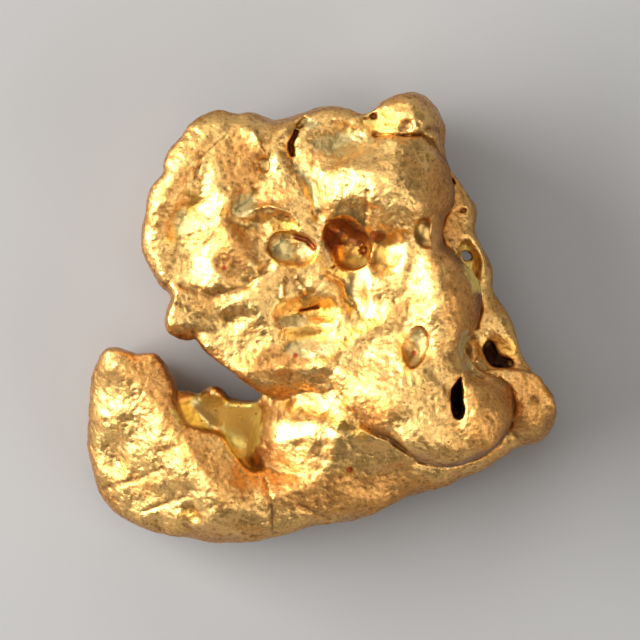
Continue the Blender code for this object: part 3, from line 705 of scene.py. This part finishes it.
def make_nugget():
    bm = bmesh.new()
    lay_masses(bm)
    lay_feet(bm)
    nugget = as_object("nugget_skin", bm)
    skin(nugget, FORM_VOXEL, 2)
    forms = Clay(nugget.data, FORM_DRIFT, FORM_LIP)
    press_sides(forms)
    press_underside(forms)
    forms.settle()
    cut_holes(nugget)
    skin(nugget, SKIN_VOXEL, 1)
    details = Clay(nugget.data, DETAIL_DRIFT, DETAIL_LIP)
    press_details(details)
    details.settle()
    # The hollows are made smoother, and the material also paints a reflection tint into them.
    hollow = smoothstep(0.05, 0.35, hollowness(nugget.data, 120))
    matte = details.covered(MATTE_SPOTS, MATTE_STREAKS) * (1 - hollow)
    smooth = np.maximum(0.5 * hollow, details.covered(SMOOTH_SPOTS, SMOOTH_STREAKS))
    # Painted shade: the steeper the side, the more it is painted dark brown.
    steep_side_shade = smoothstep(0.7, 0.25, corners(nugget.data, "normal")[:, 2])
    store(nugget.data, "hollow", hollow)
    store(nugget.data, "matte", matte)
    store(nugget.data, "smooth", smooth)
    store(nugget.data, "steep_side_shade", steep_side_shade * (1 - smooth))
    # Painted reflections: olive, orange and green tints in the hollows and pits, standing for gold reflecting gold.
    store(nugget.data, "olive_reflection", details.covered(OLIVE_REFLECTION_SPOTS, OLIVE_REFLECTION_STREAKS))
    store(nugget.data, "orange_reflection", details.covered(ORANGE_REFLECTION_SPOTS, ORANGE_REFLECTION_STREAKS))
    store(nugget.data, "green_reflection", details.covered(GREEN_REFLECTION_SPOTS, GREEN_REFLECTION_STREAKS))
    rust = RUST_COVER * details.covered(RUST_SPOTS, [])
    store(nugget.data, "iron", np.maximum(rust, details.covered(IRON_SPOTS, IRON_STREAKS)))
    store(nugget.data, "red", details.covered(RED_SPOTS, []))
    # Painted shade inside the blind holes.
    store(nugget.data, "hole_shade", hole_shade_cover(details))
    roughen(nugget.data, smooth, matte)
    # Painted shade: dark brown painted into the small creases, and along the seams where the main body lies over the
    # other parts.
    crevice_shade_and_grit = 0.65 * smoothstep(0.006, 0.032, hollowness(nugget.data, 6))
    seam_shade = 0.85 * details.covered([], [(seam, 0.15) for seam in SEAMS])
    store(nugget.data, "crevice_shade_and_grit", np.maximum(crevice_shade_and_grit, seam_shade))
    flatten_feet(nugget.data)
    thin(nugget)
    flatten_feet(nugget.data, FOOT_REACH)
    nugget.data.transform(Matrix.Scale(MM, 4))
    nugget.data.shade_smooth()
    nugget.data.materials.clear()
    nugget.data.materials.append(gold())
    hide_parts("nugget")
    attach(nugget, "root")
    return nugget


class Nodes:
    """A material's nodes, added one at a time and joined by their inputs."""

    def __init__(self, name):
        self.material = bpy.data.materials.new(name)
        self.material.use_nodes = True
        self.tree = self.material.node_tree
        self.shader = self.tree.nodes["Principled BSDF"]

    def put(self, socket, value):
        if hasattr(value, "is_output"):
            self.tree.links.new(value, socket)
        else:
            socket.default_value = value

    def attribute(self, name):
        node = self.tree.nodes.new("ShaderNodeAttribute")
        node.attribute_type = "GEOMETRY"
        node.attribute_name = name
        return node.outputs["Fac"]

    def place(self):
        return self.tree.nodes.new("ShaderNodeTexCoord").outputs["Object"]

    def noise(self, length, detail=2.0, roughness=0.5):
        """Soft noise from 0 to 1, with features about this many millimetres long."""
        node = self.tree.nodes.new("ShaderNodeTexNoise")
        self.put(node.inputs["Vector"], self.place())
        node.inputs["Scale"].default_value = 1 / (length * MM)
        node.inputs["Detail"].default_value = detail
        node.inputs["Roughness"].default_value = roughness
        return node.outputs["Fac"]

    def cells(self, length, feature="F1"):
        node = self.tree.nodes.new("ShaderNodeTexVoronoi")
        node.feature = feature
        self.put(node.inputs["Vector"], self.place())
        node.inputs["Scale"].default_value = 1 / (length * MM)
        return node.outputs["Distance"]

    def ramp(self, value, low, high, start=0.0, end=1.0):
        """A value between two limits, carried smoothly to the range from start to end."""
        node = self.tree.nodes.new("ShaderNodeMapRange")
        node.interpolation_type = "SMOOTHSTEP"
        for socket, given in zip(node.inputs[:5], (value, low, high, start, end)):
            self.put(socket, given)
        return node.outputs["Result"]

    def maths(self, operation, one, two=0.0):
        node = self.tree.nodes.new("ShaderNodeMath")
        node.operation = operation
        self.put(node.inputs[0], one)
        self.put(node.inputs[1], two)
        return node.outputs["Value"]

    def blend(self, share, one, two):
        """A colour that goes from one to two."""
        node = self.tree.nodes.new("ShaderNodeMix")
        node.data_type = "RGBA"
        self.put(node.inputs["Factor"], share)
        self.put(node.inputs["A"], one)
        self.put(node.inputs["B"], two)
        return node.outputs["Result"]

    def bump(self, height, distance, strength, normal=None):
        node = self.tree.nodes.new("ShaderNodeBump")
        node.inputs["Strength"].default_value = strength
        node.inputs["Distance"].default_value = distance * MM
        self.put(node.inputs["Height"], height)
        if normal:
            self.put(node.inputs["Normal"], normal)
        return node.outputs["Normal"]


PALE_GOLD = (0.96, 0.60, 0.20, 1.0)
TAN_GOLD = (0.78, 0.385, 0.105, 1.0)
STEEP_SIDE_SHADE_GOLD = (0.42, 0.18, 0.04, 1.0)
HOLLOW_REFLECTION_GOLD = (0.95, 0.62, 0.18, 1.0)
SHADE_AND_GRIT_BROWN = (0.17, 0.06, 0.012, 1.0)
ORANGE_REFLECTION_GOLD = (0.93, 0.49, 0.09, 1.0)
OLIVE_REFLECTION_GOLD = (0.80, 0.58, 0.14, 1.0)
GREEN_REFLECTION_GOLD = (0.56, 0.49, 0.22, 1.0)
IRON_BROWN = (0.26, 0.06, 0.013, 1.0)
IRON_RED = (0.50, 0.05, 0.02, 1.0)
HOLE_SHADE_BROWN = (0.05, 0.018, 0.008, 1.0)
SPECK_BROWN = (0.30, 0.11, 0.03, 1.0)


def gold():
    """Bare gold, with its stains, and with painted reflection tints and painted shade in its hollows, creases, holes
    and on its steep sides.
    """
    nodes = Nodes("native gold")
    hollow, matte, smooth = (nodes.attribute(name) for name in ("hollow", "matte", "smooth"))
    ragged = nodes.noise(0.45, 4.0, 0.65)
    blotches = nodes.noise(2.2, 4.0)
    speckle = nodes.noise(0.2, 3.0, 0.6)
    dull = nodes.maths("MAXIMUM", nodes.ramp(blotches, 0.45, 0.65, 0.0, 0.7), matte)
    mottled = nodes.maths("ADD", dull, nodes.ramp(speckle, 0.35, 0.7, -0.3, 0.4))
    colour = nodes.blend(mottled, PALE_GOLD, TAN_GOLD)
    # Painted shade: steep sides painted dark brown, broken up by the speckle.
    edges = nodes.maths("MULTIPLY", nodes.attribute("steep_side_shade"), nodes.ramp(speckle, 0.3, 0.65, 0.45, 1.0))
    colour = nodes.blend(edges, colour, STEEP_SIDE_SHADE_GOLD)
    # Painted reflection: the hollows are tinted a deeper gold, standing for gold reflecting gold.
    colour = nodes.blend(nodes.maths("MULTIPLY", hollow, 0.7), colour, HOLLOW_REFLECTION_GOLD)
    # Painted shade in the creases and seams, together with real dark grit specks, fewer of them on smooth areas.
    grit = nodes.ramp(nodes.noise(0.14, 2.0), 0.30, 0.40, 0.65, 0.0)
    crevice_shade_and_grit = nodes.maths("MAXIMUM", nodes.attribute("crevice_shade_and_grit"), nodes.maths("MULTIPLY", grit, nodes.ramp(smooth, 0.0, 1.0, 1.0, 0.2)))
    colour = nodes.blend(crevice_shade_and_grit, colour, SHADE_AND_GRIT_BROWN)
    orange_reflection, olive_reflection, green_reflection, iron = (ragged_cover(nodes, name, ragged) for name in ("orange_reflection", "olive_reflection", "green_reflection", "iron"))
    # Painted reflections: orange, olive and green tints in the hollows.
    colour = nodes.blend(nodes.maths("MULTIPLY", orange_reflection, 0.7), colour, ORANGE_REFLECTION_GOLD)
    colour = nodes.blend(olive_reflection, colour, OLIVE_REFLECTION_GOLD)
    colour = nodes.blend(nodes.maths("MULTIPLY", green_reflection, 0.6), colour, GREEN_REFLECTION_GOLD)
    specks = nodes.ramp(nodes.maths("ADD", nodes.cells(0.8), nodes.maths("MULTIPLY", speckle, 0.08)), 0.11, 0.15, 0.9, 0.0)
    colour = nodes.blend(specks, colour, SPECK_BROWN)
    colour = nodes.blend(nodes.maths("MULTIPLY", iron, 0.9), colour, IRON_BROWN)
    colour = nodes.blend(nodes.attribute("red"), colour, IRON_RED)
    # Painted shade: the insides of the blind holes painted dark brown.
    colour = nodes.blend(nodes.attribute("hole_shade"), colour, HOLE_SHADE_BROWN)
    nodes.put(nodes.shader.inputs["Base Color"], colour)
    # Less metallic where the painted reflection tints, rust, grit, specks and painted crevice shade lie.
    olive_and_green_reflection = nodes.maths("MAXIMUM", nodes.maths("MULTIPLY", olive_reflection, 0.6), nodes.maths("MULTIPLY", green_reflection, 0.3))
    rust_grit_and_crevice_shade = nodes.maths("MAXIMUM", iron, crevice_shade_and_grit)
    dirt_and_crevice_shade = nodes.maths("MAXIMUM", nodes.maths("MULTIPLY", rust_grit_and_crevice_shade, 0.4), specks)
    nodes.put(nodes.shader.inputs["Metallic"], nodes.ramp(nodes.maths("MAXIMUM", dirt_and_crevice_shade, olive_and_green_reflection), 0.0, 1.0, 1.0, 0.35))
    patches = nodes.ramp(nodes.noise(0.7, 3.0), 0.35, 0.65, 0.35, 0.46)
    worn = nodes.maths("ADD", patches, nodes.ramp(dull, 0.0, 1.0, 0.0, 0.08))
    rough = nodes.maths("MULTIPLY", worn, nodes.ramp(smooth, 0.0, 1.0, 1.0, 0.75))
    nodes.put(nodes.shader.inputs["Roughness"], rough)
    pitted = nodes.maths("MULTIPLY", nodes.cells(0.4), 0.6)
    fine = nodes.maths("ADD", nodes.noise(0.22, 3.0, 0.6), pitted)
    bare = nodes.maths("MULTIPLY", fine, nodes.ramp(smooth, 0.0, 1.0, 1.0, 0.3))
    nodes.put(nodes.shader.inputs["Normal"], nodes.bump(bare, 0.068, 0.8))
    return nodes.material


def ragged_cover(nodes, name, ragged):
    """The cover of a stain, or of one of the painted reflection tints, with its edge broken up by the ragged noise."""
    torn = nodes.maths("ADD", nodes.attribute(name), nodes.maths("MULTIPLY", nodes.maths("SUBTRACT", ragged, 0.5), 1.6))
    return nodes.ramp(torn, 0.25, 0.8)


def plain_floor():
    bpy.ops.mesh.primitive_plane_add(size=1.2)
    floor = bpy.context.object
    floor.name = "floor"
    material = bpy.data.materials.new("pale floor")
    material.use_nodes = True
    shader = material.node_tree.nodes["Principled BSDF"]
    shader.inputs["Base Color"].default_value = (0.33, 0.325, 0.32, 1.0)
    shader.inputs["Roughness"].default_value = 0.85
    floor.data.materials.append(material)


def soft_light(name, at, size, power, colour=(1.0, 1.0, 1.0)):
    light = bpy.data.lights.new(name, "AREA")
    light.shape = "RECTANGLE"
    light.size, light.size_y = size
    light.energy = power
    light.color = colour
    lamp = bpy.data.objects.new(name, light)
    lamp.location = at
    lamp.rotation_euler = (-Vector(at)).to_track_quat("-Z", "Y").to_euler()
    bpy.context.scene.collection.objects.link(lamp)


def light_studio():
    soft_light("key", (-0.26, 0.03, 0.15), (0.30, 0.18), 1.98)
    soft_light("top", (-0.07, 0.03, 0.34), (0.30, 0.30), 0.52)
    soft_light("far", (0.02, 0.26, 0.16), (0.24, 0.14), 0.2)
    soft_light("fill", (0.20, -0.12, 0.18), (0.22, 0.20), 0.34)
    world = bpy.data.worlds.new("room")
    bpy.context.scene.world = world
    world.use_nodes = True
    world.node_tree.nodes["Background"].inputs["Color"].default_value = (0.070, 0.054, 0.038, 1.0)


def place_camera():
    """Straight above, with the picture's top towards +Y."""
    camera_data = bpy.data.cameras.new("camera")
    camera_data.sensor_width = SENSOR
    camera_data.lens = LENS
    camera_data.clip_start = 0.01
    camera = bpy.data.objects.new("camera", camera_data)
    distance = PIXEL * PICTURE * LENS / SENSOR
    camera.location = (0, 0, (AIM_HEIGHT + distance) * MM)
    bpy.context.scene.collection.objects.link(camera)
    bpy.context.scene.camera = camera


make_nugget()
plain_floor()
light_studio()
place_camera()
bpy.context.scene.view_settings.view_transform = "Standard"
